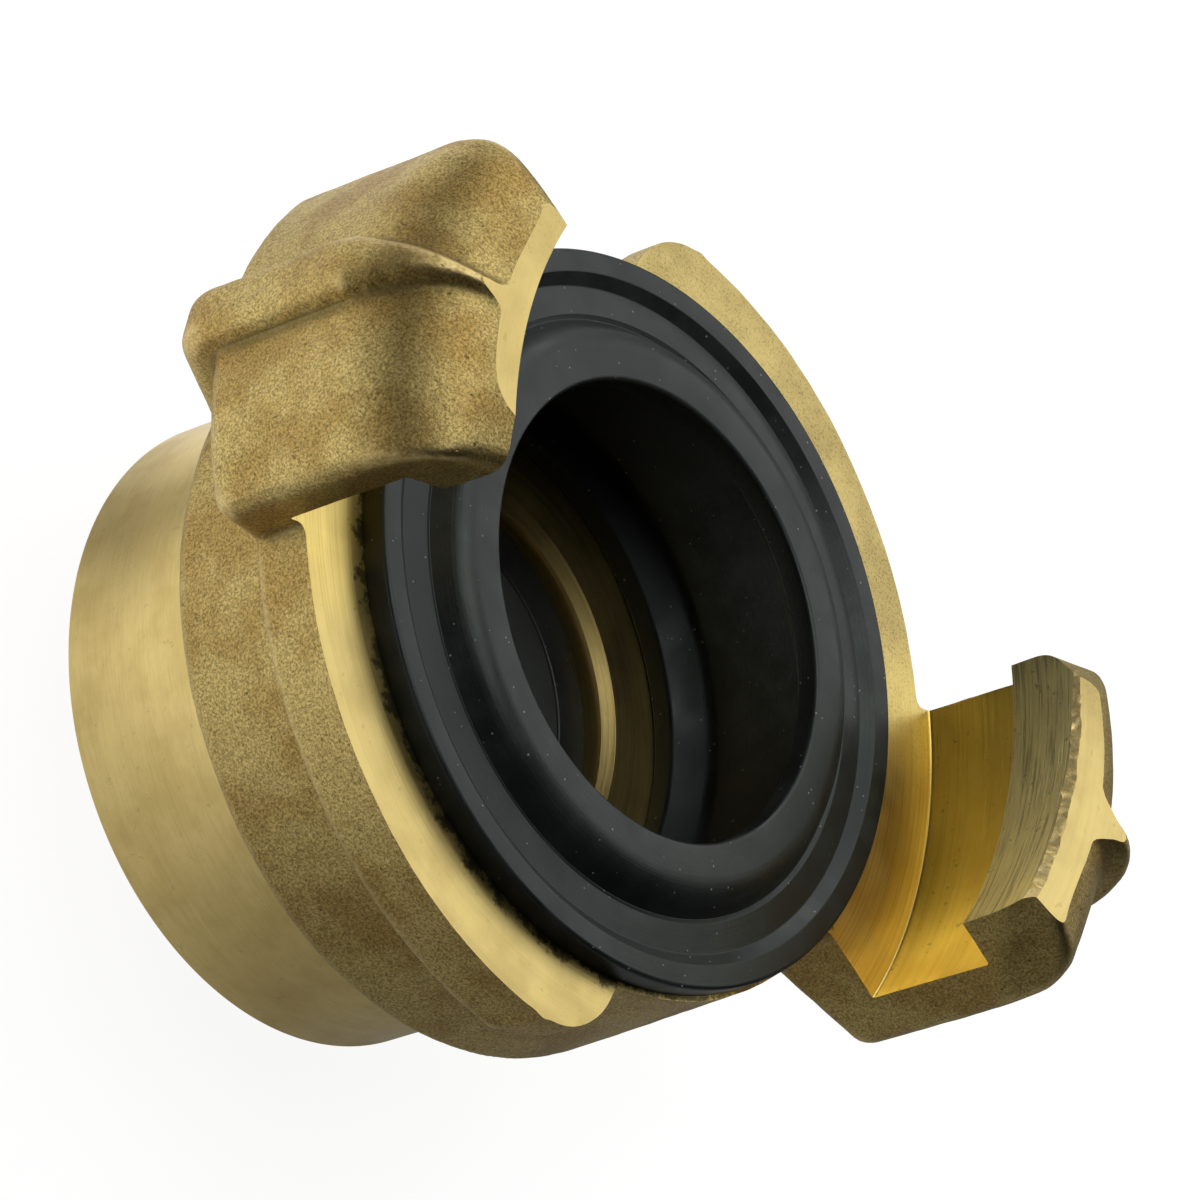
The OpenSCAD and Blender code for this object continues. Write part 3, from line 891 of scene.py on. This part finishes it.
def seal():
    """Moulded face seal"""
    wall = POCKET_R - SEAL_ROOM
    outline = rounded([
        (wall, POCKET_FLOOR, 0.3),
        (wall, FACE_H, 0),
        (SEAL_RIM_R, FACE_H, 0),
        (SEAL_RIM_R, FACE_H + SEAL_RIM_H, 0.22),
        (SEAL_STEP_R, FACE_H + SEAL_RIM_H, 0.15),
        (SEAL_LAND_R, FACE_H + SEAL_LAND_H, 0.15),
        (SEAL_RISE_R, FACE_H + SEAL_RISE_H, 0.1),
        (SEAL_CREASE_R, FACE_H + SEAL_CREASE_H, 0.05),
        (SEAL_LIP_R, FACE_H + SEAL_LIP_H, SEAL_LIP_ROUND),
        (SEAL_BORE_R, FACE_H + SEAL_LIP_H, 0.25),
        (SEAL_BORE_R, FACE_H + SEAL_BORE_H, 0.3),
        (SEAL_HOLLOW_R, FACE_H + SEAL_ROOF_H, 1.0),
        (SEAL_HOLLOW_R, POCKET_FLOOR + SEAL_HOLLOW_FLOOR, 1.0),
        (SEAL_FOOT_R, POCKET_FLOOR + SEAL_FOOT_H, 0.3),
        (SEAL_FOOT_R, POCKET_FLOOR, 0.2)], 8)
    o = revolve("rubber_seal", outline, [SEAL], closed=True)
    finish_mesh(o, RUBBER_SHARP)
    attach(o, "root")
    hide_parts("face_seal")
    return o


def gasket():
    """Flat gasket at the bottom of the thread"""
    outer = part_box("thread_gasket")[1].x / MM
    corners = [(GASKET_BORE_R, GASKET_BACK), (outer, GASKET_BACK), (outer, NECK_LEN),
               (GASKET_BORE_R, NECK_LEN)]
    outline = rounded([(*corner, GASKET_EDGE_R) for corner in corners])
    o = revolve("flat_gasket", outline, [GASKET], closed=True)
    finish_mesh(o, RUBBER_SHARP)
    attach(o, "root")
    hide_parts("thread_gasket")
    return o


# Studio

def camera():
    """Camera at the photograph's viewing angle"""
    data = bpy.data.cameras.new("camera")
    data.lens = CAMERA_LENS
    data.sensor_width = CAMERA_SENSOR
    data.clip_start, data.clip_end = 0.01, 10
    o = bpy.data.objects.new("camera", data)
    bpy.context.scene.collection.objects.link(o)
    back = CAMERA_RIGHT.cross(CAMERA_UP)
    o.matrix_world = Matrix.Translation(CAMERA_PLACE * MM) @ Matrix(
        (CAMERA_RIGHT, CAMERA_UP, back)).transposed().to_4x4()
    bpy.context.scene.camera = o


def soft_box(name, azimuth, elevation, distance, size, power):
    """Area light that faces the object"""
    data = bpy.data.lights.new(name, "AREA")
    data.shape = "RECTANGLE"
    data.size, data.size_y = size
    data.energy = power
    o = bpy.data.objects.new(name, data)
    a, e = math.radians(azimuth), math.radians(elevation)
    way = Vector((math.cos(a) * math.cos(e), math.sin(a) * math.cos(e), math.sin(e)))
    o.location = way * distance + LIGHT_AIM
    o.rotation_mode = "QUATERNION"
    o.rotation_quaternion = (-way).to_track_quat("-Z", "Y")
    bpy.context.scene.collection.objects.link(o)


def sky():
    """Studio walls, brighter towards one side"""
    world = bpy.data.worlds.new("studio")
    world.use_nodes = True
    tree = world.node_tree
    back = tree.nodes["Background"]
    way = tree.nodes.new("ShaderNodeTexCoord")
    tilt = tree.nodes.new("ShaderNodeVectorMath")
    tilt.operation = "DOT_PRODUCT"
    tilt.inputs[1].default_value = (math.cos(BRIGHT_SIDE), math.sin(BRIGHT_SIDE), SKY_TILT)
    fade = tree.nodes.new("ShaderNodeMapRange")
    fade.interpolation_type = "SMOOTHSTEP"
    fade.inputs["From Min"].default_value = -SKY_SPAN
    fade.inputs["From Max"].default_value = SKY_SPAN
    fade.inputs["To Min"].default_value = SKY_DARK
    fade.inputs["To Max"].default_value = SKY_BRIGHT
    tree.links.new(way.outputs["Generated"], tilt.inputs[0])
    tree.links.new(tilt.outputs["Value"], fade.inputs["Value"])
    tree.links.new(fade.outputs[0], back.inputs["Strength"])
    bpy.context.scene.world = world


def studio():
    """Floor, walls and lights"""
    edge, low = FLOOR_HALF, -FLOOR_GAP
    corners = [(-edge, -edge, low), (edge, -edge, low), (edge, edge, low), (-edge, edge, low)]
    o = new_object("floor", corners, [(0, 1, 2, 3)], [floor_paper()])
    sky()
    for light in LIGHTS:
        soft_box(*light)
    bpy.context.scene.view_settings.view_transform = "Standard"


camera()
studio()
body()
seal()
gasket()
